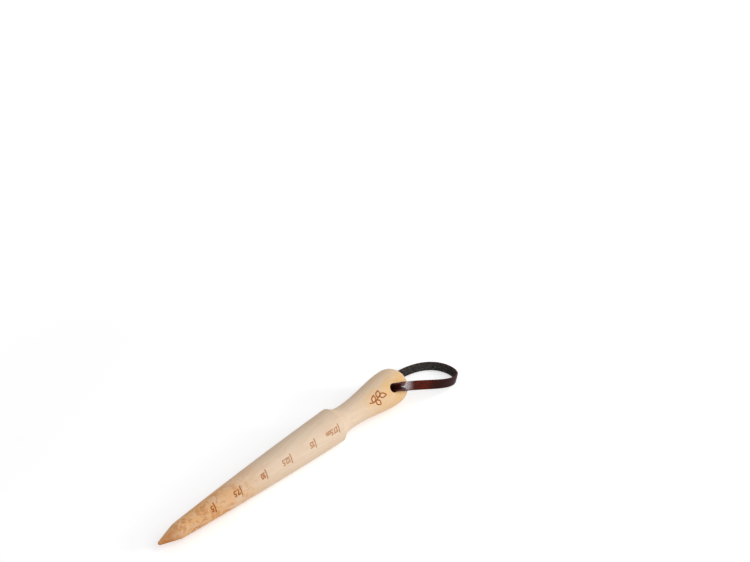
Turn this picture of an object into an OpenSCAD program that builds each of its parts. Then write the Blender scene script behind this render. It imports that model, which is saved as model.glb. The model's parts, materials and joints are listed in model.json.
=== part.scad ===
// Wooden dibber with a leather hanging strap. One turned piece of beech has a pointed blade with a
// depth scale in centimetres, a shoulder, a neck and a swelling grip. A strip of leather passes
// through a hole across the grip and forms a loop, which swings about the hole.
// It lies on level ground, blade towards -X and butt towards +X, with +Z up. The thick end of the
// blade rests on the ground and the end of the loop stands on the ground on its edge.

/* [Blade] */
// Length of the wood, from tip to butt
total_len = 261.5; // [256:0.5:280]
// Distance of the shoulder from the tip
shoulder_at = 180.5; // [179:0.5:184]
// Diameter at the shoulder
shoulder_d = 29.9; // [28:0.1:31]
// Length of the pointed nose
nose_len = 20; // [18:0.5:22]
// Diameter where the nose meets the blade
nose_d = 13.2; // [12.8:0.1:14]
// Radius of the blunt tip
tip_r = 1.6; // [1:0.1:2]
// Radius of the curve between the nose and the blade's side
nose_round = 20; // [10:1:26]
// Outward bow of the blade's side between nose and shoulder
belly = 0.8; // [0.7:0.05:1]
// Radius of the shoulder's worn edge
edge_r = 0.6; // [0.3:0.1:0.9]

/* [Grip] */
// Distance of the neck from the tip
neck_at = 193.5; // [192:0.5:196]
// Diameter of the neck
neck_d = 20.9; // [20:0.1:23]
// Distance of the thickest part of the grip from the tip
butt_at = 246; // [245:0.5:250]
// Diameter of the thickest part of the grip
butt_d = 30.7; // [30:0.1:31.6]
// How late the grip swells, where 1 is an even swell
swell = 1.14; // [1:0.02:1.2]
// Fullness of the domed end, where 2 is round and more is flatter
dome = 2.2; // [2:0.1:3]
// Distance of the strap hole from the tip
hole_at = 240.5; // [237:0.5:241]
// Diameter of the strap hole
hole_d = 8; // [8:0.1:9]
// Height of the hole's direction above the horizontal, in degrees
face_turn = 38.5; // [30:0.5:40]

/* [Depth scale] */
// Number of depth lines
line_count = 6; // [1:1:6]
// Distance of the first depth line from the tip
first_line = 50; // [45:1:50]
// Distance between depth lines
line_step = 25; // [20:1:25]
// Length of a depth line round the blade
line_len = 7; // [6:0.5:9]
// Width of a depth line
line_w = 0.7; // [0.5:0.1:1]
// Depth to which a line is burnt in
line_deep = 0.3; // [0.2:0.05:0.4]
// Slant of a line to the ring round the blade, in degrees
line_slant = 8; // [0:1:12]
// Turn of the first line from the hole's direction, in degrees
scale_turn = -3.2; // [-6:0.2:6]
// Further turn of the scale over each 100 mm of the blade, in degrees
scale_lean = 8.2; // [0:0.2:10]

/* [Strap] */
// Width of the leather strip
strap_w = 7.8; // [6:0.1:7.8]
// Thickness of the leather
strap_t = 1.6; // [1.2:0.1:1.6]
// Clearance between the leather and the wall of the hole
hole_gap = 0.2; // [0.2:0.05:0.4]
// Radius of the fold where the strip leaves the hole
fold_r = 1.8; // [1.6:0.1:2]
// Reach of the loop from the middle of the hole
loop_reach = 75; // [72:1:80]
// Distance from the hole at which both runs begin to close
close_at = 30; // [26:0.5:36]
// Distance of the near run from the middle plane
near_run = 17.7; // [17.5:0.1:19]
// Distance of the far run from the middle plane
far_run = 22.3; // [18:0.1:24]
// Droop of the loop's end below the start of its runs, in degrees
loop_droop = 4.4; // [2:0.1:8]
// Twist of the loop over each 20 mm across it, in degrees
loop_twist = 12.4; // [12:0.1:13]

/* [Hidden] */
wood = [0.87, 0.76, 0.62];
leather = [0.3, 0.09, 0.07];
round_fn = 96;
shoulder_r = shoulder_d / 2;
nose_r = nose_d / 2;
neck_r = neck_d / 2;
butt_r = butt_d / 2;

// The blade's side is one shallow arc. These are its radius, the slope of its side at the nose and
// the place of its centre, as distances from the tip and from the axis.
side_run = norm([shoulder_at - nose_len, shoulder_r - nose_r]);
side_r = (side_run * side_run / 4 + belly * belly) / (2 * belly);
side_slope = atan2(shoulder_r - nose_r, shoulder_at - nose_len) + asin(side_run / 2 / side_r);
side_x = nose_len + side_r * sin(side_slope);
side_y = nose_r - side_r * cos(side_slope);
function blade_r(s) = side_y + sqrt(side_r * side_r - pow(s - side_x, 2));

// The nose is a straight cone between the ball of its tip and an arc that leads into the side.
// These are the arc's centre, its distance from the ball's centre and the slope of the cone.
round_x = nose_len + nose_round * sin(side_slope);
round_y = nose_r - nose_round * cos(side_slope);
round_gap = norm([round_x - tip_r, round_y]);
cone_slope = atan2(round_y, round_x - tip_r) + asin((nose_round - tip_r) / round_gap);

// The shoulder's edge is rounded, and below it one arc runs down to the neck.
cove_from = shoulder_at + edge_r;
cove_drop = shoulder_r - edge_r - neck_r;
cove_run = neck_at - cove_from;
cove_r = (cove_run * cove_run + cove_drop * cove_drop) / (2 * cove_drop);
function cove_side(s) = neck_r + cove_r - sqrt(cove_r * cove_r - pow(neck_at - s, 2));

function grip_r(k) = neck_r + (butt_r - neck_r) * (1 - cos(180 * pow(k, swell))) / 2;
function dome_r(k) = butt_r * pow(1 - pow(k, dome), 1 / dome);

tip_steps = 6;
nose_steps = 5;
side_steps = 4;
edge_steps = 3;
cove_steps = 8;
grip_steps = 18;
dome_steps = 12;
outline = concat(
    [for (i = [0 : tip_steps]) let (a = 180 + (cone_slope - 90) * i / tip_steps)
        [tip_r * sin(a), tip_r + tip_r * cos(a)]],
    [for (i = [0 : nose_steps - 1]) let (a = cone_slope + (side_slope - cone_slope) * i / nose_steps)
        [round_y + nose_round * cos(a), round_x - nose_round * sin(a)]],
    [for (i = [0 : side_steps - 1]) let (s = nose_len + (shoulder_at - nose_len) * i / side_steps)
        [blade_r(s), s]],
    [for (i = [0 : edge_steps - 1]) let (a = 90 * i / edge_steps)
        [shoulder_r - edge_r + edge_r * cos(a), shoulder_at + edge_r * sin(a)]],
    [for (i = [0 : cove_steps - 1]) let (s = cove_from + cove_run * i / cove_steps)
        [cove_side(s), s]],
    [for (i = [0 : grip_steps - 1]) let (k = i / grip_steps)
        [grip_r(k), neck_at + (butt_at - neck_at) * k]],
    [for (i = [0 : dome_steps - 1]) let (k = sin(90 * i / dome_steps))
        [dome_r(k), butt_at + (total_len - butt_at) * k]],
    [[0, total_len]]
);

// Both pieces are drawn with the wood's axis along +Z, its tip at the origin, and one end of the
// hole facing +X, as the scale nearly does. This lays them down, with the last straight stretch of
// the blade flat on the ground under the balance point, and moves the middle of the whole to the
// origin.
ground_from = shoulder_at - (shoulder_at - nose_len) / side_steps;
lie_tilt = atan2(shoulder_r - blade_r(ground_from), shoulder_at - ground_from);
tip_height = shoulder_r * cos(lie_tilt) - shoulder_at * sin(lie_tilt);
middle_x = 157.5;
middle_y = -3.25;
module lay() {
    translate([-middle_x, -middle_y, tip_height])
        rotate([0, 90 - lie_tilt, 0])
            rotate([0, 0, 270 - face_turn])
                children();
}

// A depth line is a stretch of a shallow ring round the blade, cut to a slanting band.
past_surface = 1;
module depth_line(s) {
    turn = line_len / blade_r(s) * 180 / PI;
    rotate([0, 0, scale_turn + scale_lean * (s - first_line) / 100])
        intersection() {
            rotate([0, 0, -turn / 2])
                rotate_extrude(angle = turn, $fn = round_fn)
                    translate([blade_r(s) - line_deep, s - line_len / 2])
                        square([line_deep + past_surface, line_len]);
            translate([0, 0, s])
                rotate([-line_slant, 0, 0])
                    translate([0, -line_len, -line_w / 2])
                        cube([shoulder_d, 2 * line_len, line_w]);
        }
}

module wooden_body() {
    color(wood)
        lay()
            difference() {
                rotate_extrude($fn = round_fn)
                    polygon(outline);
                translate([0, 0, hole_at])
                    rotate([0, 90, 0])
                        cylinder(d = hole_d, h = 2 * butt_d, center = true, $fn = round_fn);
                for (i = [0 : line_count - 1])
                    depth_line(first_line + i * line_step);
            }
}

// The strip follows stations, each a distance from the hole's axis and a place along that axis.
// It starts in the middle of the hole, leaves it on the scale's side, runs round the loop and comes
// back through the far end. A swing angle at each station bends, twists and droops the loop.
hug_r = hole_d / 2 - hole_gap - strap_t / 2;
run_from = hug_r + fold_r;
hole_steps = 3;
fold_steps = 6;
run_steps = 6;
end_steps = 14;
function half_loop(gap) = concat(
    [for (i = [0 : hole_steps - 1])
        [hug_r, (near_run - fold_r) * i / hole_steps]],
    [for (i = [0 : fold_steps - 1]) let (a = 90 * i / fold_steps)
        [run_from - fold_r * cos(a), near_run - fold_r + fold_r * sin(a)]],
    [for (i = [0 : run_steps - 1]) let (k = i / run_steps)
        [run_from + (close_at - run_from) * k,
            near_run + (gap - near_run) * (1 - cos(180 * k)) / 2]],
    [for (i = [0 : end_steps - 1]) let (a = 90 * i / end_steps)
        [close_at + (loop_reach - close_at) * sin(a), gap * cos(a)]]
);
near_half = half_loop(near_run);
far_half = half_loop(far_run);
stations = concat(
    near_half,
    [[loop_reach, 0]],
    [for (i = [len(far_half) - 1 : -1 : 1]) [far_half[i][0], -far_half[i][1]]]
);
station_count = len(stations);

// The loop swings down from the hole until the lower edge of its end meets the ground.
ground_gap = 0.1;
hole_height = tip_height + hole_at * sin(lie_tilt);
drop_share = norm([cos(face_turn) * cos(lie_tilt), sin(lie_tilt)]);
end_swing = atan2(sin(lie_tilt), cos(face_turn) * cos(lie_tilt))
    + asin((hole_height - strap_w / 2 - ground_gap) / (loop_reach * drop_share));
loop_swing = end_swing - loop_droop;
twist_rate = loop_twist / 20;
droop_rate = loop_droop / loop_reach;
function swing(p) = loop_swing + twist_rate * p[1] + droop_rate * p[0];
function place(p) = [p[1], p[0] * sin(swing(p)), p[0] * cos(swing(p))];
function unit(v) = v / norm(v);

// Directions of the strip at a station: along it, across its width and out of its grain side
function along(i) = unit(
    place(stations[(i + 1) % station_count])
    - place(stations[(i + station_count - 1) % station_count]));
function outward_step(p) = let (a = swing(p), g = p[0] * droop_rate * PI / 180)
    [0, sin(a) + g * cos(a), cos(a) - g * sin(a)];
function sideways_step(p) = let (a = swing(p), g = p[0] * twist_rate * PI / 180)
    [1, g * cos(a), -g * sin(a)];
function across(i) = let (w = cross(outward_step(stations[i]), sideways_step(stations[i])), t = along(i))
    unit(w - (w * t) * t);

// The strip is curled to the wall of the hole and flattens over a short way outside it.
flat_from = 5;
least_curl = 0.0005;
function flatness(p) = min(1, max(0, (p[0] - hug_r) / (fold_r + flat_from)));
function curl(p) = max(least_curl, (1 + cos(180 * flatness(p))) / 2 / hug_r);

across_steps = 6;
function leather_point(i, j, side) =
    let (
        bend = curl(stations[i]),
        a = strap_w * (j / across_steps - 0.5) * bend * 180 / PI,
        r = 1 / bend - side * strap_t / 2,
        w = across(i)
    )
    place(stations[i]) + r * sin(a) * w + (1 / bend - r * cos(a)) * cross(w, along(i));
function leather_ring(i) = concat(
    [for (j = [0 : across_steps]) leather_point(i, j, 1)],
    [for (j = [across_steps : -1 : 0]) leather_point(i, j, -1)]
);

module hanging_strap() {
    ring = 2 * (across_steps + 1);
    color(leather)
        lay()
            translate([0, 0, hole_at])
                polyhedron(
                    points = [for (i = [0 : station_count - 1]) each leather_ring(i)],
                    faces = [for (i = [0 : station_count - 1], j = [0 : ring - 1]) let (
                        a = i * ring + j,
                        b = i * ring + (j + 1) % ring,
                        c = ((i + 1) % station_count) * ring + (j + 1) % ring,
                        d = ((i + 1) % station_count) * ring + j
                    ) each [[a, c, b], [a, d, c]]]
                );
}

wooden_body();
hanging_strap();
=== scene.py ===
"""Finishes a lying wooden dibber: turned beech with a burnt depth scale, and its leather strap."""

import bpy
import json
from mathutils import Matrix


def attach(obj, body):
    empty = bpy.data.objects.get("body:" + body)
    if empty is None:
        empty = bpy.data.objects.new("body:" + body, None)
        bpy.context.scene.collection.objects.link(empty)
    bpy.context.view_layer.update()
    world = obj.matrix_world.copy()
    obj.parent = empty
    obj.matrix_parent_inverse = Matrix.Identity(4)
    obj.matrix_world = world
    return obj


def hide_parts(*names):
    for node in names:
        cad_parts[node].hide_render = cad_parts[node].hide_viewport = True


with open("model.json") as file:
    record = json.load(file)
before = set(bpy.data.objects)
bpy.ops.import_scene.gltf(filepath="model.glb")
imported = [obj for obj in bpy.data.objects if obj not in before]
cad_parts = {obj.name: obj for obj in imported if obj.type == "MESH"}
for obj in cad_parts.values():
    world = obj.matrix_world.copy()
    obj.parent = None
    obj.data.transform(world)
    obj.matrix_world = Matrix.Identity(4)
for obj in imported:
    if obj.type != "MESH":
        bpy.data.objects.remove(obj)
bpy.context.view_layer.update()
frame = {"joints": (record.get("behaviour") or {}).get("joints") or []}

import json
import math

import bpy
import numpy as np
from bpy.props import FloatProperty, FloatVectorProperty, IntProperty, PointerProperty
from mathutils import Matrix, Vector

bl_info = {
    "name": "Wooden dibber",
    "version": (1, 0, 0),
    "blender": (4, 5, 0),
    "location": "3D View > Sidebar > Dibber",
    "description": "Makes a turned beech dibber with a burnt depth scale and a leather strap",
    "category": "Object",
}

MM = 0.001
CM = 10 * MM

# Lengths over which the scale's lean and the loop's twist are given
LEAN_OVER, TWIST_OVER = 100 * MM, 20 * MM

# The strap swings on the axis of the hole, which points out of the wood on the side of the scale.
# The wood's own axis is level across the ground, so these two directions fix how the dibber lies.
HINGE = Vector(frame["joints"][0]["pos_m"])
FACE = Vector(frame["joints"][0]["axis"]).normalized()
AXIS = Vector((FACE.z, 0.0, -FACE.x)).normalized()
SIDE = AXIS.cross(FACE)


def length(name, description, default_mm, low_mm=0.0):
    """A length that a user may change, given here in millimetres."""
    return FloatProperty(
        name=name, description=description, default=default_mm * MM, min=low_mm * MM,
        unit="LENGTH", subtype="DISTANCE", precision=5,
    )


def angle(name, description, default_degrees):
    """An angle that a user may change, given here in degrees."""
    return FloatProperty(
        name=name, description=description, default=math.radians(default_degrees),
        subtype="ANGLE", unit="ROTATION",
    )


def colour(name, description, red, green, blue):
    """A colour that a user may change, given here as it looks on a screen, from 0 to 255."""
    linear = [((c / 255 + 0.055) / 1.055) ** 2.4 for c in (red, green, blue)]
    return FloatVectorProperty(
        name=name, description=description, default=(*linear, 1.0), min=0.0, max=1.0,
        size=4, subtype="COLOR",
    )


class WoodSizes(bpy.types.PropertyGroup):
    """Sizes of the turned wood, measured along its axis from the tip."""

    total: length("Length", "Length of the wood from tip to butt", 261.5)
    shoulder_at: length("Shoulder", "Distance of the shoulder from the tip", 180.5)
    shoulder_d: length("Shoulder diameter", "Diameter at the shoulder", 29.9)
    nose_at: length("Nose", "Length of the pointed nose", 20)
    nose_d: length("Nose diameter", "Diameter where the nose meets the blade", 13.2)
    tip_r: length("Tip radius", "Radius of the blunt tip", 1.6)
    nose_round: length("Nose curve", "Radius of the curve between nose and side", 20)
    belly: length("Belly", "Outward bow of the blade's side", 0.8)
    edge_r: length("Edge radius", "Radius of the shoulder's worn edge", 0.6)
    neck_at: length("Neck", "Distance of the neck from the tip", 193.5)
    neck_d: length("Neck diameter", "Diameter of the neck", 20.9)
    butt_at: length("Butt", "Distance of the grip's thickest part from the tip", 246)
    butt_d: length("Butt diameter", "Diameter of the grip's thickest part", 30.7)
    swell: FloatProperty(name="Swell", description="How late the grip swells", default=1.14, min=0.5)
    dome: FloatProperty(name="Dome", description="Fullness of the domed end", default=2.2, min=1.5)
    hole_at: length("Hole", "Distance of the strap hole from the tip", 240.5)
    hole_d: length("Hole diameter", "Diameter of the strap hole", 8)
    mouth_wear: length("Mouth wear", "How far the hole's mouths are worn open", 0.35)
    step: length("Step", "Distance between rings of the mesh", 1.4, 0.5)


class MarkSizes(bpy.types.PropertyGroup):
    """Sizes of what is burnt into the wood."""

    count: IntProperty(name="Lines", description="Number of depth lines", default=6, min=1, max=6)
    first: length("First line", "Distance of the first depth line from the tip", 50)
    step: length("Line step", "Distance between depth lines", 25)
    line_len: length("Line length", "Length of a depth line round the blade", 7)
    line_w: length("Line width", "Width of a depth line", 0.7)
    slant: angle("Slant", "Slant of the lines and numerals to a ring round the blade", 8)
    turn: angle("Turn", "Turn of the first line from the direction of the hole", -3.2)
    lean: angle("Lean", "Further turn of the scale over each 100 mm", 8.2)
    pen_w: length("Pen width", "Width of the stroke of numerals and leaves", 0.7)
    soft: length("Softness", "How far a burnt edge fades into the wood", 0.6)
    deep: length("Depth", "Depth to which a line is burnt in", 0.22)
    figure_h: length("Figure height", "Height of the numerals", 4.0)
    sprig_at: length("Sprig", "Distance of the leaf sprig from the tip", 222.5)
    grid: length("Fine step", "Distance between rings of the mesh where it is burnt", 0.2, 0.1)


class StrapSizes(bpy.types.PropertyGroup):
    """Sizes of the leather strap and of the loop that it makes."""

    width: length("Width", "Width of the leather strip", 7.8)
    thick: length("Thickness", "Thickness of the leather", 1.6)
    edge_r: length("Edge radius", "Radius of the strip's cut edges", 0.35)
    hole_gap: length("Hole gap", "Clearance between the leather and the hole's wall", 0.2)
    fold_r: length("Fold radius", "Radius of the fold where the strip leaves the hole", 1.8)
    reach: length("Reach", "Reach of the loop from the middle of the hole", 75)
    close_at: length("Closing point", "Distance at which both runs begin to close", 30)
    near_run: length("Near run", "Distance of the near run from the middle plane", 17.7)
    far_run: length("Far run", "Distance of the far run from the middle plane", 22.3)
    flat_from: length("Flat from", "Distance over which the curled strip flattens", 5)
    ground_gap: length("Ground gap", "Height of the end's lower edge over the ground", 0.1)
    droop: angle("Droop", "Droop of the loop's end below the start of its runs", 4.4)
    twist: angle("Twist", "Twist of the loop over each 20 mm across it", 12.4)


class Finish(bpy.types.PropertyGroup):
    """Colours of the finishes."""

    beech: colour("Beech", "Pale wood of the blade", 240, 217, 190)
    beech_tan: colour("Beech, tan", "Fibres and darker lines of the growth rings", 220, 186, 152)
    beech_warm: colour("Beech, warm", "Warm wood at the point", 236, 182, 126)
    beech_honey: colour("Beech, honey", "Warm wood of the grip", 240, 192, 124)
    beech_amber: colour("Beech, amber", "Darkest wood of the point and of warm spots", 194, 118, 50)
    scorch: colour("Scorch", "Edge of burnt lines and figures", 208, 130, 44)
    char: colour("Char", "Middle of burnt lines and figures", 132, 60, 4)
    leather_red: colour("Leather, red", "Reddish part of the leather's grain side", 104, 30, 13)
    leather_dark: colour("Leather, dark", "Darkest part of the leather's grain side", 40, 13, 9)
    suede: colour("Suede", "Inner side of the leather", 45, 41, 38)
    suede_pale: colour("Suede, pale", "Raised nap of the inner side", 124, 118, 114)
    cut_edge: colour("Cut edge", "Cut edges of the leather", 92, 54, 56)
    ground: colour("Ground", "Floor of the studio", 240, 240, 240)


class StageSettings(bpy.types.PropertyGroup):
    """Camera and lamps."""

    azimuth: angle("Azimuth", "Direction of the view round the dibber", -46.476)
    elevation: angle("Elevation", "Height of the view above the horizon", 32.446)
    away: length("Distance", "Distance of the camera from where it looks on the ground", 1373.7)
    look_x: length("Look at X", "Where the view meets the ground, along the dibber", 219.9)
    look_y: length("Look at Y", "Where the view meets the ground, across the dibber", 143.8)
    lens: FloatProperty(name="Lens", description="Focal length in millimetres", default=69.6)
    key: FloatProperty(name="Key lamp", description="Power of the key lamp in watts", default=4.3)
    front: FloatProperty(name="Front lamp", description="Power of the low lamp in watts", default=0.5)
    glint: FloatProperty(
        name="Glint lamp", description="Power in watts of the lamp that shines on the strap's bend",
        default=2.9)
    fill: FloatProperty(name="Fill", description="Strength of the sky's light", default=0.46)


class DibberSettings(bpy.types.PropertyGroup):
    """Everything that a user may change."""

    wood: PointerProperty(type=WoodSizes)
    marks: PointerProperty(type=MarkSizes)
    strap: PointerProperty(type=StrapSizes)
    finish: PointerProperty(type=Finish)
    stage: PointerProperty(type=StageSettings)


def lying(wood):
    """The place of the turned wood: X out of the face, Y across it, Z from tip to butt."""
    turned = Matrix((FACE, SIDE, AXIS)).transposed().to_4x4()
    turned.translation = HINGE - AXIS * wood.hole_at
    return turned


# Meshes and node trees


def mesh_object(name, points, faces=(), edges=()):
    """A linked object with a mesh of these points."""
    mesh = bpy.data.meshes.new(name)
    mesh.from_pydata([tuple(p) for p in points], list(edges), list(faces))
    mesh.validate()
    made = bpy.data.objects.new(name, mesh)
    bpy.context.scene.collection.objects.link(made)
    return made


def grid_faces(rows, columns, first=0, closed_rows=False):
    """Quads between rows of points, each row a closed ring."""
    faces = []
    for row in range(rows if closed_rows else rows - 1):
        a, b = first + row * columns, first + (row + 1) % rows * columns
        for i in range(columns):
            j = (i + 1) % columns
            faces.append((a + i, a + j, b + j, b + i))
    return faces


def revolve(name, stations, radii, angles):
    """A solid of revolution about Z, from a pole at the first station to one at the last."""
    rings = len(stations) - 2
    columns = len(angles)
    points = [(0.0, 0.0, stations[0])]
    for s, r in zip(stations[1:-1], radii[1:-1]):
        points += [(r * math.cos(a), r * math.sin(a), s) for a in angles]
    points.append((0.0, 0.0, stations[-1]))
    last, top = len(points) - 1, 1 + (rings - 1) * columns
    faces = grid_faces(rings, columns, 1)
    faces += [(0, 1 + (i + 1) % columns, 1 + i) for i in range(columns)]
    faces += [(last, top + i, top + (i + 1) % columns) for i in range(columns)]
    return mesh_object(name, points, faces)


def baked(obj):
    """Turns an object with modifiers into a plain mesh."""
    bpy.context.view_layer.update()
    graph = bpy.context.evaluated_depsgraph_get()
    plain = bpy.data.meshes.new_from_object(obj.evaluated_get(graph), depsgraph=graph)
    obj.modifiers.clear()
    obj.data = plain


def smooth(obj, sharp_from=40.0):
    """Shades an object smooth, except across edges sharper than this angle."""
    obj.data.shade_smooth()
    obj.data.set_sharp_from_angle(angle=math.radians(sharp_from))


def feed(tree, node, inputs):
    """Gives a node its inputs, each a value or another node's output socket."""
    for key, value in inputs.items():
        if isinstance(value, bpy.types.NodeSocket):
            tree.links.new(value, node.inputs[key])
        else:
            node.inputs[key].default_value = value


def put(tree, kind, inputs=None, **settings):
    """Adds a node with these settings and inputs."""
    made = tree.nodes.new(kind)
    for name, value in settings.items():
        setattr(made, name, value)
    feed(tree, made, inputs or {})
    return made


def math_of(tree, operation, *values, clamp=False):
    """The output of a Math node."""
    inputs = dict(enumerate(values))
    return put(tree, "ShaderNodeMath", inputs, operation=operation, use_clamp=clamp).outputs[0]


def chain(operation):
    """A function that joins any number of values by Math nodes of this operation."""
    def joined(tree, first, *others):
        for other in others:
            first = math_of(tree, operation, first, other)
        return first
    return joined


times, plus, less, most = map(chain, ("MULTIPLY", "ADD", "SUBTRACT", "MAXIMUM"))


def vector_of(tree, operation, *values):
    """The output of a Vector Math node."""
    inputs = dict(enumerate(values))
    return put(tree, "ShaderNodeVectorMath", inputs, operation=operation).outputs[0]


def scaled(tree, vector, factor):
    """A vector times a number."""
    inputs = {0: vector, "Scale": factor}
    return put(tree, "ShaderNodeVectorMath", inputs, operation="SCALE").outputs[0]


def length_of(tree, vector):
    """The length of a vector."""
    return put(tree, "ShaderNodeVectorMath", {0: vector}, operation="LENGTH").outputs["Value"]


def vector_at(tree, x=0.0, y=0.0, z=0.0):
    """A vector made of three values."""
    return put(tree, "ShaderNodeCombineXYZ", {0: x, 1: y, 2: z}).outputs[0]


def axes_of(tree, vector):
    """The three values of a vector."""
    return put(tree, "ShaderNodeSeparateXYZ", {0: vector}).outputs


def ramp(tree, value, start, end, low=0.0, high=1.0):
    """A smooth step from low to high as value goes from start to end."""
    inputs = {0: value, 1: start, 2: end, 3: low, 4: high}
    return put(tree, "ShaderNodeMapRange", inputs, interpolation_type="SMOOTHSTEP").outputs[0]


def blend_of(tree, factor, first, second):
    """A mix of two colours."""
    inputs = {0: factor, 6: first, 7: second}
    return put(tree, "ShaderNodeMix", inputs, data_type="RGBA").outputs[2]


def noise_of(tree, vector, stretch, detail=2.0, roughness=0.5, distortion=0.0):
    """Noise from 0 to 1 in features of a size of one over stretch, along each axis."""
    inputs = {
        "Vector": vector_of(tree, "MULTIPLY", vector, stretch), "Scale": 1.0,
        "Detail": detail, "Roughness": roughness, "Distortion": distortion,
    }
    return put(tree, "ShaderNodeTexNoise", inputs).outputs["Fac"]


def bump_of(tree, height, strength, deep_mm):
    """A normal that is bumped by a height from 0 to 1."""
    inputs = {"Height": height, "Strength": strength, "Distance": deep_mm * MM}
    return put(tree, "ShaderNodeBump", inputs).outputs[0]


def stored(tree, name):
    """A value that is kept on the mesh, for a material."""
    return put(tree, "ShaderNodeAttribute", attribute_name=name).outputs["Fac"]


def new_material(name):
    """A new material, its node tree and its Principled shader."""
    made = bpy.data.materials.new(name)
    made.use_nodes = True
    return made, made.node_tree, made.node_tree.nodes["Principled BSDF"]


# Wood


class Outline:
    """The turned outline: a radius at each distance from the tip."""

    def __init__(self, wood):
        self.wood = wood
        self.nose_r, self.shoulder_r = wood.nose_d / 2, wood.shoulder_d / 2
        self.neck_r, self.butt_r = wood.neck_d / 2, wood.butt_d / 2
        rise, run = self.shoulder_r - self.nose_r, wood.shoulder_at - wood.nose_at
        chord = math.hypot(rise, run)

        # The blade's side is an arc with this belly, and the nose's curve has its slope there
        self.side_r = (chord * chord / 4 + wood.belly ** 2) / (2 * wood.belly)
        slope = math.atan2(rise, run) + math.asin(chord / 2 / self.side_r)
        self.side_x = wood.nose_at + self.side_r * math.sin(slope)
        self.side_y = self.nose_r - self.side_r * math.cos(slope)
        self.round_x = wood.nose_at + wood.nose_round * math.sin(slope)
        self.round_y = self.nose_r - wood.nose_round * math.cos(slope)

        # The nose's cone touches its curve and the ball of the tip
        gap = math.hypot(self.round_x - wood.tip_r, self.round_y)
        self.cone = math.atan2(self.round_y, self.round_x - wood.tip_r) + math.asin(
            (wood.nose_round - wood.tip_r) / gap)
        self.cone_from = wood.tip_r - wood.tip_r * math.sin(self.cone)
        self.cone_to = self.round_x - wood.nose_round * math.sin(self.cone)

        # The cove is an arc that starts at the shoulder's edge and ends level at the neck
        self.cove_from = wood.shoulder_at + wood.edge_r
        drop = self.shoulder_r - wood.edge_r - self.neck_r
        self.cove_r = ((wood.neck_at - self.cove_from) ** 2 + drop ** 2) / (2 * drop)

    def radius(self, s):
        """Radius at distance s from the tip."""
        w = self.wood
        if s <= self.cone_from:
            return math.sqrt(max(0.0, w.tip_r ** 2 - (s - w.tip_r) ** 2))
        if s <= self.cone_to:
            return w.tip_r * math.cos(self.cone) + (s - self.cone_from) * math.tan(self.cone)
        if s <= w.nose_at:
            return self.round_y + math.sqrt(w.nose_round ** 2 - (s - self.round_x) ** 2)
        if s <= w.shoulder_at:
            return self.side_y + math.sqrt(self.side_r ** 2 - (s - self.side_x) ** 2)
        if s <= self.cove_from:
            return self.shoulder_r - w.edge_r + math.sqrt(
                max(0.0, w.edge_r ** 2 - (s - w.shoulder_at) ** 2))
        if s <= w.neck_at:
            return self.neck_r + self.cove_r - math.sqrt(self.cove_r ** 2 - (w.neck_at - s) ** 2)
        if s <= w.butt_at:
            k = (s - w.neck_at) / (w.butt_at - w.neck_at)
            swelled = (1 - math.cos(math.pi * k ** w.swell)) / 2
            return self.neck_r + (self.butt_r - self.neck_r) * swelled
        k = min(1.0, (s - w.butt_at) / (w.total - w.butt_at))
        return self.butt_r * (1 - k ** w.dome) ** (1 / w.dome)

    def stations(self, fine_spans, fine_step):
        """Distances of the mesh's rings: even, closer over the fine spans and on round ends."""
        w = self.wood
        tip = w.tip_r - w.tip_r * np.cos(np.linspace(0, math.pi / 2 - self.cone, 12))
        nose = np.linspace(self.cone_from, w.nose_at, 34)
        edge = w.shoulder_at + w.edge_r * np.sin(np.linspace(0, math.pi / 2, 7))
        cove = np.linspace(self.cove_from, w.neck_at, 20)
        even = np.arange(w.nose_at, w.butt_at, w.step)
        even = even[(even < w.shoulder_at - w.step / 2) | (even > w.neck_at)]
        dome = w.butt_at + (w.total - w.butt_at) * np.sin(np.linspace(0, math.pi / 2, 36))
        fine = [np.arange(low, high, fine_step) for low, high in fine_spans]
        every = np.sort(np.concatenate([tip, nose, edge, cove, even, dome, *fine]))
        least_gap = 0.02 * MM
        return every[np.concatenate([[True], np.diff(every) > least_gap])]


def ring_angles():
    """Angles round the wood: close over the burnt face, fairly close over the hole's far mouth."""
    spans = ((-33, 33, 1.0), (33, 158, 5.0), (158, 202, 2.5), (202, 327, 5.0))
    return np.radians(np.concatenate([np.arange(*span) for span in spans]))


def hole_cutter(wood, outline):
    """The drill for the strap hole, along X, which widens a little at both mouths."""
    mouth = outline.radius(wood.hole_at)
    wear = wood.mouth_wear
    out = [(0.0, 0.0), (mouth - 2 * wear, 0.0), (mouth - wear, 0.15 * wear), (mouth, 0.5 * wear),
           (mouth + wear, 1.2 * wear), (mouth + 6 * wear, 6 * wear)]
    half = [(x, wood.hole_d / 2 + r) for x, r in out]
    stations, radii = zip(*[(-x, r) for x, r in reversed(half[1:])], *half)
    drill = revolve(
        "drill", [stations[0], *stations, stations[-1]], [0.0, *radii, 0.0],
        np.radians(np.arange(0, 360, 5.0)))
    drill.data.transform(Matrix.Rotation(math.pi / 2, 4, "Y"))
    drill.data.transform(Matrix.Translation((0.0, 0.0, wood.hole_at)))
    return drill


# What is burnt into the wood is drawn flat, as strokes of points (across, along): across goes
# round the wood and along from the tip to the butt. FIGURES gives each letter's width and its
# strokes, upright and in letter heights.


def arc(centre, radii, start, end, steps=14):
    """Points of an elliptic arc between two angles in degrees."""
    turns = np.radians(np.linspace(start, end, steps))
    return [(centre[0] + radii[0] * math.cos(a), centre[1] + radii[1] * math.sin(a)) for a in turns]


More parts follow.
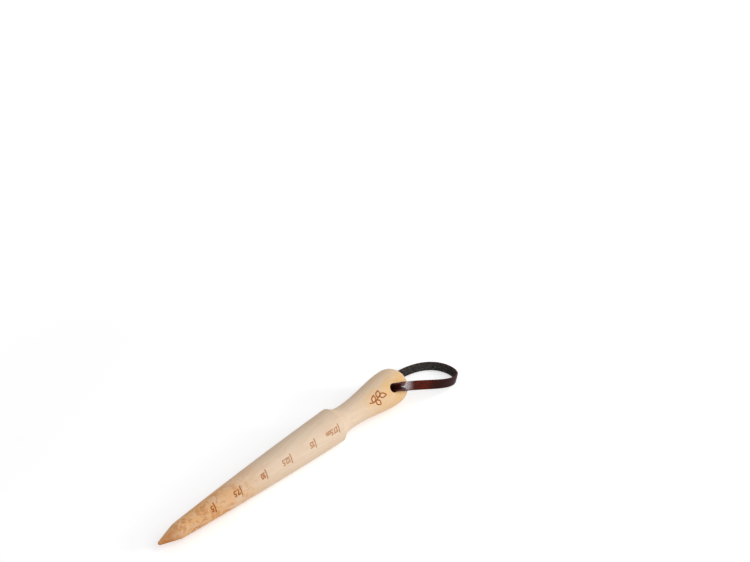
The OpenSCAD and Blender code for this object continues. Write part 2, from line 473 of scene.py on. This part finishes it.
FIGURES = {
    "0": (0.55, [arc((0.23, 0.5), (0.21, 0.48), 0, 360, 24)]),
    "1": (0.45, [[(0.04, 0.76), (0.2, 0.98), (0.2, 0.02)], [(0.06, 0.02), (0.34, 0.02)]]),
    "2": (0.55, [arc((0.24, 0.71), (0.21, 0.27), 165, -25) + [(0.03, 0.02), (0.46, 0.02)]]),
    "5": (0.55, [[(0.44, 0.98), (0.12, 0.98), (0.09, 0.56)]
                 + arc((0.22, 0.31), (0.23, 0.3), 112, -140)]),
    "7": (0.53, [[(0.03, 0.84), (0.03, 0.98), (0.45, 0.98), (0.17, 0.02)]]),
    ".": (0.26, [[(0.08, 0.03), (0.11, 0.03)]]),
    "c": (0.46, [arc((0.21, 0.29), (0.19, 0.28), 45, 315)]),
    "m": (0.8, [[(0.04, 0.57), (0.04, 0.02)],
                arc((0.19, 0.38), (0.15, 0.19), 170, 0) + [(0.34, 0.02)],
                arc((0.49, 0.38), (0.15, 0.19), 175, 0) + [(0.64, 0.02)]]),
}
FIRST_GAP = 0.28

# Ends of the leaf sprig, in millimetres from its middle
SPRIG_FOOT, SPRIG_HEAD = -8.2, 8.4


def depth_texts(marks):
    """The text beside each depth line, in centimetres, with the unit on the last."""
    texts = [f"{(marks.first + i * marks.step) / CM:.3g}" for i in range(marks.count)]
    return [*texts[:-1], texts[-1] + "cm"]


def text_length(marks, text):
    """Length of a text along the blade, from its line to its end."""
    return (FIRST_GAP + sum(FIGURES[c][0] for c in text)) * marks.figure_h


def text_strokes(marks, text, line_at):
    """Strokes of a text that starts at its depth line and reads towards the tip."""
    strokes = []
    slant = math.tan(marks.slant)
    pen = FIRST_GAP
    for letter in text:
        advance, lines = FIGURES[letter]
        for line in lines:
            strokes.append([
                ((y - 0.5) * marks.figure_h, line_at - (pen + x + slant * y) * marks.figure_h)
                for x, y in line
            ])
        pen += advance
    return strokes


def leaf(foot, tip, bulge, steps=18):
    """Outline of a leaf from foot to tip, as two strokes."""
    foot, tip = Vector(foot), Vector(tip)
    along = tip - foot
    across = Vector((-along.y, along.x)).normalized() * bulge
    strokes = []
    for side in (1, -1):
        strokes.append([
            tuple(foot + along * t + across * side * math.sin(math.pi * t ** 0.85))
            for t in np.linspace(0, 1, steps)
        ])
    return strokes


def sprig_strokes(marks):
    """A plain twig along the grip with leaves on both sides, its foot towards the tip."""
    sway, twig_len, leaf_out, leaf_up, bulge = 1.2, 10.6, 5.2, 3.2, 1.8
    twig = [(sway * math.sin(t * 4.2), SPRIG_FOOT + twig_len * t) for t in np.linspace(0, 1, 24)]
    strokes = [twig, *leaf(twig[-1], (1.0, SPRIG_HEAD), 1.9)]
    for at, way in ((7, -1), (13, 1), (19, -1)):
        x, y = twig[at]
        strokes += leaf((x, y), (x + leaf_out * way, y + leaf_up), bulge)
    return [[(t * MM, s * MM + marks.sprig_at) for t, s in stroke] for stroke in strokes]


def figure_strokes(marks):
    """Strokes of the numerals at all depth lines."""
    strokes = []
    for i, text in enumerate(depth_texts(marks)):
        strokes += text_strokes(marks, text, marks.first + i * marks.step)
    return strokes


def drawing(name, strokes):
    """A flat drawing as a mesh of short edges in the YZ plane."""
    longest = 0.3 * MM
    points, edges = [], []
    for stroke in strokes:
        for a, b in zip(stroke, stroke[1:]):
            pieces = max(1, math.ceil(math.dist(a, b) / longest))
            start = len(points)
            for k in range(pieces + 1):
                t = k / pieces
                points.append((0.0, a[0] + (b[0] - a[0]) * t, a[1] + (b[1] - a[1]) * t))
            edges += [(start + k, start + k + 1) for k in range(pieces)]
    return mesh_object(name, points, edges=edges)


def burnt_spans(marks):
    """Stretches of the blade and the grip that hold something burnt."""
    margin = 0.6 * MM
    spans = []
    for i, text in enumerate(depth_texts(marks)):
        at = marks.first + i * marks.step
        slant = math.tan(marks.slant) * max(marks.figure_h, marks.line_len / 2)
        spans.append((at - text_length(marks, text) - slant, at + slant + margin))
    foot, head = marks.sprig_at + SPRIG_FOOT * MM, marks.sprig_at + SPRIG_HEAD * MM
    return [*spans, (foot - margin, head + margin)]


def tree_inputs(tree, wanted):
    """Adds a node group's inputs, listed by kind, and its output, and returns the inputs."""
    for kind, names in wanted.items():
        for name in names:
            tree.interface.new_socket(name, in_out="INPUT", socket_type="NodeSocket" + kind)
    tree.interface.new_socket("Geometry", in_out="OUTPUT", socket_type="NodeSocketGeometry")
    return tree.nodes.new("NodeGroupInput").outputs


def wrapped(tree, flat, wood, turn=None):
    """Lays flat strokes round the wood: across becomes a distance round it, along stays."""
    place = axes_of(tree, put(tree, "GeometryNodeInputPosition").outputs[0])
    across, along = place[1], place[2]
    inputs = {
        "Target Geometry": wood, "Source Position": vector_at(tree, z=along),
        "Ray Length": 100 * MM,
    }

    def cast(direction):
        return put(tree, "GeometryNodeRaycast", {**inputs, "Ray Direction": direction}).outputs

    angle = math_of(tree, "DIVIDE", across, cast((1.0, 0.0, 0.0))["Hit Distance"])
    if turn:
        angle = plus(tree, angle, turn(along))
    outward = vector_at(tree, math_of(tree, "COSINE", angle), math_of(tree, "SINE", angle))
    hit = cast(outward)["Hit Position"]
    return put(tree, "GeometryNodeSetPosition", {"Geometry": flat, "Position": hit}).outputs[0]


def depth_lines(tree, given):
    """Flat depth lines, evenly spaced and slanted."""
    points_each = 25
    places = put(tree, "GeometryNodeMeshLine", {
        "Count": given["Line count"], "Start Location": vector_at(tree, z=given["First line"]),
        "Offset": vector_at(tree, z=given["Line step"]),
    }).outputs[0]
    half = times(tree, given["Line length"], 0.5)
    drop = times(tree, half, math_of(tree, "TANGENT", given["Slant"]))
    start, end = (
        vector_at(tree, y=times(tree, half, way), z=times(tree, drop, -way)) for way in (-1.0, 1.0))
    line = put(
        tree, "GeometryNodeMeshLine",
        {"Count": points_each, "Start Location": start, "Offset": end}, mode="END_POINTS",
    ).outputs[0]
    lines = put(tree, "GeometryNodeInstanceOnPoints", {"Points": places, "Instance": line})
    return put(tree, "GeometryNodeRealizeInstances", {0: lines.outputs[0]}).outputs[0]


def burning_tree():
    """Burns depth lines and two drawings into wood, as an attribute and as grooves."""
    tree = bpy.data.node_groups.new("Burn into wood", "GeometryNodeTree")
    given = tree_inputs(tree, {
        "Geometry": ("Geometry",), "Object": ("Figures", "Sprig"), "Int": ("Line count",),
        "Float": ("Slant", "Turn", "Lean", "First line", "Line step", "Line length",
                  "Line width", "Pen width", "Softness", "Depth"),
        "Material": ("Material",),
    })
    figures, sprig = (
        put(tree, "GeometryNodeObjectInfo", {0: given[name]}).outputs["Geometry"]
        for name in ("Figures", "Sprig"))

    def scale_turn(along):
        past_first = less(tree, along, given["First line"])
        return plus(tree, given["Turn"], times(tree, past_first, given["Lean"]))

    position = put(tree, "GeometryNodeInputPosition").outputs[0]
    burns = []
    for strokes, width, turn in (
        (depth_lines(tree, given), given["Line width"], scale_turn),
        (figures, given["Pen width"], scale_turn),
        (sprig, given["Pen width"], None),
    ):
        laid = wrapped(tree, strokes, given["Geometry"], turn)
        near = put(
            tree, "GeometryNodeProximity", {0: laid, "Sample Position": position},
            target_element="EDGES",
        ).outputs["Distance"]
        edge, soft = times(tree, width, 0.5), given["Softness"]
        burns.append(ramp(tree, near, less(tree, edge, soft), plus(tree, edge, soft), 1.0, 0.0))
    kept = put(
        tree, "GeometryNodeStoreNamedAttribute",
        {"Geometry": given["Geometry"], "Name": "burn", "Value": most(tree, *burns)},
        data_type="FLOAT", domain="POINT",
    ).outputs[0]
    burn = put(tree, "GeometryNodeInputNamedAttribute", {"Name": "burn"}, data_type="FLOAT")
    sink = times(tree, burn.outputs[0], given["Depth"], -1.0)
    inward = scaled(tree, put(tree, "GeometryNodeInputNormal").outputs[0], sink)
    sunk = put(tree, "GeometryNodeSetPosition", {"Geometry": kept, "Offset": inward}).outputs[0]
    real = put(tree, "GeometryNodeRealizeInstances", {0: sunk}).outputs[0]
    done = put(tree, "GeometryNodeSetMaterial", {"Geometry": real, "Material": given["Material"]})
    put(tree, "NodeGroupOutput", {0: done.outputs[0]})
    return tree


def run_tree(obj, tree, values):
    """Runs a node tree on an object with these named inputs and keeps the result as its mesh."""
    modifier = obj.modifiers.new(tree.name, "NODES")
    modifier.node_group = tree
    for item in tree.interface.items_tree:
        if item.in_out == "INPUT" and item.name in values:
            modifier[item.identifier] = values[item.name]
    baked(obj)


# Where the wood's looks change, in millimetres from the tip: each begins at the first place and
# is full at the second
TIP_AMBER = (21.0, 6.0)
POINT_WARMTH = (112.0, 44.0)
GRIP_WARMTH = (196.0, 244.0)
HONEY = (110.0, 190.0)
PALE_LINES = (50.0, 120.0)
GRIP_START = (196.0, 200.0)


def ringed_beech(tree, finish, at, fibre):
    """Pale beech with growth rings round a centre that lies behind the face."""
    heart, ring_gap = (-46.0, 7.0, 0.0), 2.3
    wander_by, ripple_by, slope = 11.0, 1.8, 0.012
    x, y, z = axes_of(tree, vector_of(tree, "SUBTRACT", at, heart))
    wander = less(tree, noise_of(tree, at, (0.045, 0.045, 0.012), detail=1.5), 0.5)
    ripple = less(tree, noise_of(tree, at, (0.22, 0.22, 0.05), detail=2.0), 0.5)
    depth = plus(
        tree, length_of(tree, vector_at(tree, x, y)), times(tree, wander, wander_by),
        times(tree, ripple, ripple_by), times(tree, z, slope))
    ring = math_of(tree, "FRACT", math_of(tree, "DIVIDE", depth, ring_gap))
    late = times(tree, ramp(tree, ring, 0.2, 0.88), ramp(tree, ring, 0.9, 1.0, 1.0, 0.0))
    cloud = noise_of(tree, at, (0.07, 0.07, 0.03), detail=3.0, roughness=0.55)
    tan = plus(
        tree, times(tree, late, 0.16), times(tree, ramp(tree, fibre, 0.3, 0.75), 0.26),
        times(tree, ramp(tree, cloud, 0.4, 0.7), 0.2))
    return blend_of(tree, tan, finish.beech, finish.beech_tan)


def warmed_beech(tree, finish, at, tone):
    """Warm, mottled wood from the point past the first lines, and on one half of the grip."""
    x, y, z = axes_of(tree, at)
    side_share = 0.8
    facing = plus(tree, x, times(tree, y, side_share))
    point = ramp(tree, z, *POINT_WARMTH)
    grip = times(
        tree, ramp(tree, z, *GRIP_WARMTH, 0.0, 0.9), ramp(tree, facing, -2.0, 12.0, 0.15, 1.0))
    warmth = most(tree, point, grip)
    mottle = noise_of(tree, at, (0.16, 0.16, 0.085), detail=3.0, roughness=0.55, distortion=0.9)
    patch = ramp(tree, plus(tree, mottle, times(tree, warmth, 0.2)), 0.44, 0.8, 0.36)
    warm = math_of(tree, "MULTIPLY", math_of(tree, "POWER", warmth, 0.6), patch, clamp=True)
    curl = noise_of(tree, at, (0.19, 0.19, 0.14), detail=3.0, roughness=0.5, distortion=1.4)
    spots = times(
        tree, ramp(tree, curl, 0.5, 0.58), ramp(tree, curl, 0.6, 0.7, 1.0, 0.3), point,
        ramp(tree, facing, -7.0, 1.0, 0.15, 0.55))
    tip = times(
        tree, ramp(tree, z, *TIP_AMBER), ramp(tree, mottle, 0.3, 0.5, 0.5, 0.9),
        ramp(tree, facing, -1.5, 3.5, 0.2, 1.0))
    amber = math_of(tree, "MAXIMUM", tip, spots, clamp=True)
    warm_tone = blend_of(tree, ramp(tree, z, *HONEY), finish.beech_warm, finish.beech_honey)
    tone = blend_of(tree, warm, tone, warm_tone)
    return blend_of(tree, amber, tone, finish.beech_amber)


def burnt_beech(tree, finish, at, tone):
    """Burnt strokes: brown in the middle, orange at the edge, and paler on the upper lines."""
    burn = stored(tree, "burn")
    z = axes_of(tree, at)[2]
    strong = most(tree, ramp(tree, z, *PALE_LINES, 1.0, 0.56), ramp(tree, z, *GRIP_START))
    uneven = ramp(tree, noise_of(tree, at, (1.3, 1.3, 1.3), detail=2.0), 0.25, 0.65, 0.6, 1.0)
    heat = times(tree, uneven, strong)
    tone = blend_of(tree, times(tree, ramp(tree, burn, 0.0, 0.42), heat), tone, finish.scorch)
    return blend_of(tree, times(tree, ramp(tree, burn, 0.36, 0.66), heat), tone, finish.char)


def beech_material(finish, place):
    """Solid beech in the wood's own place, so that its figure runs through it from tip to butt."""
    material, tree, shader = new_material("Turned beech")
    inverse = place.inverted()
    in_wood = put(tree, "ShaderNodeMapping", {
        "Vector": put(tree, "ShaderNodeTexCoord").outputs["Object"],
        "Location": inverse.translation, "Rotation": inverse.to_euler(),
    }, vector_type="POINT").outputs[0]
    at = scaled(tree, in_wood, 1 / MM)
    fibre = noise_of(tree, at, (2.6, 2.6, 0.11), detail=3.0, roughness=0.6)
    fleck = ramp(tree, noise_of(tree, at, (2.2, 3.4, 0.6), detail=1.0), 0.63, 0.72)
    tone = ringed_beech(tree, finish, at, fibre)
    tone = warmed_beech(tree, finish, at, tone)
    tone = blend_of(tree, times(tree, fleck, 0.14), tone, finish.beech_amber)
    height = less(tree, fibre, times(tree, fleck, 0.5))
    feed(tree, shader, {
        "Base Color": burnt_beech(tree, finish, at, tone), "Specular IOR Level": 0.25,
        "Roughness": ramp(tree, fibre, 0.2, 0.8, 0.5, 0.66),
        "Normal": bump_of(tree, height, strength=0.35, deep_mm=0.05),
    })
    return material


def turn_wood(settings):
    """The turned wood with its hole and everything that is burnt into it."""
    wood, marks = settings.wood, settings.marks
    outline = Outline(wood)
    near_hole, hole_step = wood.hole_d * 0.7, 0.5 * MM
    extra = np.arange(wood.hole_at - near_hole, wood.hole_at + near_hole, hole_step)
    stations = np.concatenate([outline.stations(burnt_spans(marks), marks.grid), extra])
    stations = np.unique(np.round(stations, 7))
    radii = [outline.radius(s) for s in stations]
    piece = revolve("wooden_body_finished", stations, radii, ring_angles())

    drill = hole_cutter(wood, outline)
    cut = piece.modifiers.new("hole", "BOOLEAN")
    cut.object = drill
    cut.solver = "EXACT"
    baked(piece)

    figures = drawing("figures", figure_strokes(marks))
    sprig = drawing("sprig", sprig_strokes(marks))
    place = lying(wood)
    run_tree(piece, burning_tree(), {
        "Figures": figures, "Sprig": sprig, "Slant": marks.slant, "Turn": marks.turn,
        "Lean": marks.lean / LEAN_OVER, "Line count": marks.count, "First line": marks.first,
        "Line step": marks.step, "Line length": marks.line_len, "Line width": marks.line_w,
        "Pen width": marks.pen_w, "Softness": marks.soft, "Depth": marks.deep,
        "Material": beech_material(settings.finish, place),
    })
    for helper in (drill, figures, sprig):
        bpy.data.objects.remove(helper)
    piece.data.transform(place)
    smooth(piece)
    return piece


# Strap


def loop_stations(strap, hug):
    """Stations of the strip: distance from the hole's axis, which is hug inside the hole, and
    place along that axis."""
    run_from = hug + strap.fold_r

    def parts(count, end=1.0):
        return np.linspace(0, end, count, endpoint=False)

    def half(gap):
        inside = [(hug, (strap.near_run - strap.fold_r) * t) for t in parts(14)]
        fold = [(run_from - strap.fold_r * math.cos(a),
                 strap.near_run - strap.fold_r + strap.fold_r * math.sin(a))
                for a in parts(16, math.pi / 2)]
        spread = [(run_from + (strap.close_at - run_from) * t,
                   strap.near_run + (gap - strap.near_run) * (1 - math.cos(math.pi * t)) / 2)
                  for t in parts(30)]
        bow = [(strap.close_at + (strap.reach - strap.close_at) * math.sin(a), gap * math.cos(a))
               for a in parts(60, math.pi / 2)]
        return inside + fold + spread + bow

    near, far = half(strap.near_run), half(strap.far_run)
    back = [(away, -beside) for away, beside in reversed(far[1:])]
    return np.array([*near, (strap.reach, 0.0), *back])


def loop_swing(strap):
    """Angle of the loop's runs at the hole, so that the loop lies on the ground."""
    level = math.hypot(AXIS.z, SIDE.z)
    fall = HINGE.z - strap.width / 2 - strap.ground_gap
    lean = math.atan2(AXIS.z, -SIDE.z)
    return lean + math.asin(fall / (strap.reach * level)) - strap.droop


def strip_frames(strap, stations):
    """Centre, direction across and direction out of the grain side at each station."""
    away, beside = stations[:, 0], stations[:, 1]
    twist, droop = strap.twist / TWIST_OVER, strap.droop / strap.reach
    swing = loop_swing(strap) + twist * beside + droop * away
    sine, cosine = np.sin(swing), np.cos(swing)
    centre = np.column_stack([beside, away * sine, away * cosine])
    outward = np.column_stack([
        np.zeros_like(away), sine + away * droop * cosine, cosine - away * droop * sine])
    sideways = np.column_stack([np.ones_like(away), away * twist * cosine, -away * twist * sine])
    along = np.roll(centre, -1, axis=0) - np.roll(centre, 1, axis=0)
    along /= np.linalg.norm(along, axis=1)[:, None]
    across = np.cross(outward, sideways)
    across -= (across * along).sum(axis=1)[:, None] * along
    across /= np.linalg.norm(across, axis=1)[:, None]
    return centre, across, np.cross(across, along)


def strip_section(strap):
    """Rounded section of the strip: (across, towards the grain side, side) for each point."""
    half_w, half_t, r = strap.width / 2, strap.thick / 2, strap.edge_r
    section = [(x, half_t, 1.0) for x in np.linspace(-half_w + r, half_w - r, 15)]
    for side, turns in ((1, (30, 60, 90)), (-1, (90, 60, 30))):
        for a in np.radians(turns):
            x, y = half_w - r + r * math.sin(a), half_t - r + r * math.cos(a)
            section.append((x, side * y, side * math.cos(a)))
    return section + [(-x, -y, -side) for x, y, side in section]


def strap_mesh(strap, wood):
    """The closed loop, curled in the hole and flat outside it, and the length of its run."""
    hug = wood.hole_d / 2 - strap.hole_gap - strap.thick / 2
    stations = loop_stations(strap, hug)
    centre, across, out = strip_frames(strap, stations)
    section = strip_section(strap)
    flat = np.clip((stations[:, 0] - hug) / (strap.fold_r + strap.flat_from), 0.0, 1.0)
    # A flat strip keeps a slight bend, because a straight one would need an endless radius
    least_bend = 0.5
    bends = np.maximum(least_bend, (1 + np.cos(np.pi * flat)) / 2 / hug)
    points, sides = [], []
    for c, w, n, bend in zip(centre, across, out, bends):
        for x, y, side in section:
            r = 1 / bend - y
            a = x * bend
            points.append(c + r * math.sin(a) * w + (1 / bend - r * math.cos(a)) * n)
            sides.append(side)
    count, ring = len(centre), len(section)
    piece = mesh_object("leather_strap", points, grid_faces(count, ring, closed_rows=True))

    mesh = piece.data
    mesh.attributes.new("grain_side", "FLOAT", "POINT").data.foreach_set("value", sides)
    steps = np.linalg.norm(np.roll(centre, -1, axis=0) - centre, axis=1)
    run = np.concatenate([[0.0], np.cumsum(steps)])
    sheet = mesh.uv_layers.new(name="strip").data
    for face in mesh.polygons:
        corners = [(i, *divmod(mesh.loops[i].vertex_index, ring)) for i in face.loop_indices]
        rows = [corner[1] for corner in corners]
        seam = max(rows) - min(rows) > 1
        for i, row, column in corners:
            along = run[count] if seam and row == 0 else run[row]
            sheet[i].uv = (along, section[column][0])
    return piece, run[count]


# Where the leather's looks change, in millimetres along the strip from the middle of the hole:
# each begins at the first place and is full at the second
RED_START, RED_END = (14.0, 30.0), (40.0, 56.0)
BEND_START, BEND_END = (17.5, 20.0), (27.0, 33.0)
WORN_NAP = (26.0, 48.0)


def leather_material(finish, run):
    """Oxblood leather for a strip of this run: pebbled grain outside, grey suede inside."""
    material, tree, shader = new_material("Oxblood leather")
    at = scaled(tree, put(tree, "ShaderNodeUVMap", uv_map="strip").outputs[0], 1 / MM)
    along = axes_of(tree, at)[0]
    from_hole = math_of(tree, "MINIMUM", along, less(tree, run / MM, along))

    wobble = put(tree, "ShaderNodeTexNoise", {"Vector": at, "Scale": 1.2, "Detail": 2.0})
    shift = vector_of(tree, "MULTIPLY", wobble.outputs["Color"], (0.5, 0.5, 0.0))
    cells = put(
        tree, "ShaderNodeTexVoronoi",
        {"Vector": vector_of(tree, "ADD", at, shift), "Scale": 1.9}, feature="DISTANCE_TO_EDGE")
    pebble = ramp(tree, cells.outputs["Distance"], 0.0, 0.28)
    fine = noise_of(tree, at, (5.0, 5.0, 5.0), detail=3.0, roughness=0.6)
    nap = noise_of(tree, at, (0.5, 0.9, 1.0), detail=5.0, roughness=0.75)

    # Red in patches along the run, dark in the hole and at the loop's end
    patch = noise_of(tree, at, (0.12, 0.3, 1.0), detail=3.0, roughness=0.55)
    wide = noise_of(tree, at, (0.035, 0.05, 1.0), detail=1.0)
    red = times(
        tree, ramp(tree, plus(tree, times(tree, patch, 0.6), times(tree, wide, 0.4)), 0.36, 0.62),
        ramp(tree, from_hole, *RED_END, 1.0, 0.1), ramp(tree, from_hole, *RED_START, 0.4, 1.0))
    grain = blend_of(tree, red, finish.leather_dark, finish.leather_red)
    grain = blend_of(tree, ramp(tree, pebble, 0.0, 0.7, 0.6, 0.0), grain, finish.leather_dark)
    raised = times(tree, ramp(tree, nap, 0.46, 0.6), ramp(tree, from_hole, *WORN_NAP, 1.0, 0.4))
    suede = blend_of(tree, raised, finish.suede, finish.suede_pale)

    # The cut edges lie between the two sides, and fray a little into both
    fray = plus(tree, stored(tree, "grain_side"), times(tree, less(tree, fine, 0.5), 0.5))
    is_grain = ramp(tree, fray, 0.35, 0.75)
    not_grain = less(tree, 1.0, is_grain)
    tone = blend_of(tree, is_grain, finish.cut_edge, grain)
    tone = blend_of(tree, ramp(tree, fray, -0.35, -0.8), tone, suede)

    # The grain opens and shines where the strip bends out of the hole
    bent = times(
        tree, ramp(tree, from_hole, *BEND_START), ramp(tree, from_hole, *BEND_END, 1.0, 0.0))
    speckle = ramp(tree, noise_of(tree, at, (1.2, 1.2, 1.0), detail=2.0), 0.36, 0.52, 0.35, 1.0)
    gloss = ramp(tree, fine, 0.2, 0.8, 0.36, 0.5)
    relief = times(tree, pebble, is_grain, ramp(tree, bent, 0.0, 1.0, 0.6, 1.0))
    height = plus(tree, relief, times(tree, nap, not_grain), times(tree, fine, 0.25))
    feed(tree, shader, {
        "Base Color": tone, "Specular IOR Level": 0.05, "Coat Roughness": 0.2,
        "Coat Weight": times(tree, bent, is_grain, speckle),
        "Roughness": plus(tree, times(tree, gloss, is_grain), times(tree, not_grain, 0.92)),
        "Normal": bump_of(tree, height, strength=0.7, deep_mm=0.1),
        "Coat Normal": bump_of(tree, height, strength=0.06, deep_mm=0.1),
    })
    return material


def make_strap(settings):
    """The leather loop, in its place through the hole."""
    piece, run = strap_mesh(settings.strap, settings.wood)
    place = lying(settings.wood)
    place.translation = HINGE
    piece.data.transform(place)
    piece.data.materials.append(leather_material(settings.finish, run))
    smooth(piece, 60.0)
    return piece


# Stage


def seen_directly(tree):
    """1 for rays that end in the picture: straight, mirrored or through glass."""
    path = put(tree, "ShaderNodeLightPath").outputs
    return most(tree, *(path[f"Is {kind} Ray"] for kind in ("Camera", "Glossy", "Transmission")))


def ground_material(finish):
    """A pale floor that looks white where it is lit, and keeps the shadow."""
    material, tree, shader = new_material("Studio floor")
    tree.nodes.remove(shader)
    matt = put(tree, "ShaderNodeBsdfDiffuse", {"Color": finish.ground})
    away = length_of(tree, put(tree, "ShaderNodeTexCoord").outputs["Object"])
    strength = times(tree, seen_directly(tree), ramp(tree, away, 0.2, 1.0, 0.42, 0.9))
    glow = put(tree, "ShaderNodeEmission", {"Color": (1.0, 1.0, 1.0, 1.0), "Strength": strength})
    both = put(tree, "ShaderNodeAddShader", {0: matt.outputs[0], 1: glow.outputs[0]})
    feed(tree, tree.nodes["Material Output"], {"Surface": both.outputs[0]})
    return material


def aim(made, place, target):
    """Puts a lamp or the camera in the scene, pointed at a target."""
    made.location = place
    made.rotation_euler = (target - place).to_track_quat("-Z", "Y").to_euler()
    bpy.context.scene.collection.objects.link(made)


def area_lamp(name, place, target, size, power):
    """A square soft lamp that points at a target."""
    lamp = bpy.data.lights.new(name, "AREA")
    lamp.size, lamp.energy = size, power
    aim(bpy.data.objects.new(name, lamp), place, target)


def studio_camera(stage):
    """The camera, which looks down at a point on the ground."""
    camera = bpy.data.cameras.new("camera")
    camera.sensor_width, camera.lens = 36.0, stage.lens
    camera.clip_start, camera.clip_end = 0.01, 20.0
    turn, rise = stage.azimuth, stage.elevation
    level = math.cos(rise)
    back = Vector((math.sin(turn) * level, -math.cos(turn) * level, math.sin(rise)))
    target = Vector((stage.look_x, stage.look_y, 0.0))
    made = bpy.data.objects.new("camera", camera)
    aim(made, target + back * stage.away, target)
    bpy.context.scene.camera = made


def set_stage(settings):
    """Floor, sky, lamps and camera."""
    stage = settings.stage
    half = 4.0
    corners = [(-half, -half, 0), (half, -half, 0), (half, half, 0), (-half, half, 0)]
    floor = mesh_object("floor", corners, [(0, 1, 2, 3)])
    floor.data.materials.append(ground_material(settings.finish))

    world = bpy.data.worlds.new("Studio sky")
    world.use_nodes = True
    tree = world.node_tree
    strength = ramp(tree, seen_directly(tree), 0.0, 1.0, stage.fill, 1.0)
    feed(tree, tree.nodes["Background"], {"Color": (0.98, 0.98, 1.0, 1.0), "Strength": strength})
    bpy.context.scene.world = world

    middle, fold = Vector((0.0, 0.0, 0.015)), Vector((0.09, -0.01, 0.02))
    for name, target, offset, size, power in (
        ("key", middle, (0.25, -0.7, 0.95), 0.9, stage.key),
        ("front", middle, (0.35, -1.1, 0.16), 0.5, stage.front),
        ("glint", fold, (0.51, -0.78, 0.36), 0.24, stage.glint),
    ):
        area_lamp(name, target + Vector(offset), target, size, power)
    studio_camera(stage)
    bpy.context.scene.view_settings.view_transform = "Standard"


# Add-on


class DIBBER_OT_wood(bpy.types.Operator):
    """Turn the wood, drill it and burn in its depth scale"""

    bl_idname = "dibber.wood"
    bl_label = "Turned wood"

    def execute(self, context):
        piece = turn_wood(context.scene.dibber)
        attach(piece, "dibber")
        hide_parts("wooden_body")
        return {"FINISHED"}


class DIBBER_OT_strap(bpy.types.Operator):
    """Make the leather strap"""

    bl_idname = "dibber.strap"
    bl_label = "Leather strap"

    def execute(self, context):
        piece = make_strap(context.scene.dibber)
        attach(piece, "strap")
        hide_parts("hanging_strap")
        return {"FINISHED"}


class DIBBER_OT_stage(bpy.types.Operator):
    """Set up the floor, the lamps and the camera"""

    bl_idname = "dibber.stage"
    bl_label = "Stage"

    def execute(self, context):
        set_stage(context.scene.dibber)
        return {"FINISHED"}


class DIBBER_PT_panel(bpy.types.Panel):
    """Sizes, colours and buttons in the sidebar of the 3D view."""

    bl_label = "Dibber"
    bl_space_type = "VIEW_3D"
    bl_region_type = "UI"
    bl_category = "Dibber"

    def draw(self, context):
        for operator in (DIBBER_OT_wood, DIBBER_OT_strap, DIBBER_OT_stage):
            self.layout.operator(operator.bl_idname)
        settings = context.scene.dibber
        for part in DibberSettings.__annotations__:
            group = getattr(settings, part)
            column = self.layout.column(align=True)
            column.label(text=group.bl_rna.description)
            for name in group.__annotations__:
                column.prop(group, name)


CLASSES = (
    WoodSizes, MarkSizes, StrapSizes, Finish, StageSettings, DibberSettings,
    DIBBER_OT_wood, DIBBER_OT_strap, DIBBER_OT_stage, DIBBER_PT_panel,
)


def register():
    """Registers the classes and hangs the settings on the scene."""
    for cls in CLASSES:
        bpy.utils.register_class(cls)
    bpy.types.Scene.dibber = PointerProperty(type=DibberSettings)


def unregister():
    """Takes it all away again."""
    del bpy.types.Scene.dibber
    for cls in reversed(CLASSES):
        bpy.utils.unregister_class(cls)


def main():
    """Makes everything."""
    register()
    for operator in (bpy.ops.dibber.wood, bpy.ops.dibber.strap, bpy.ops.dibber.stage):
        operator()


if __name__ == "__main__":
    main()
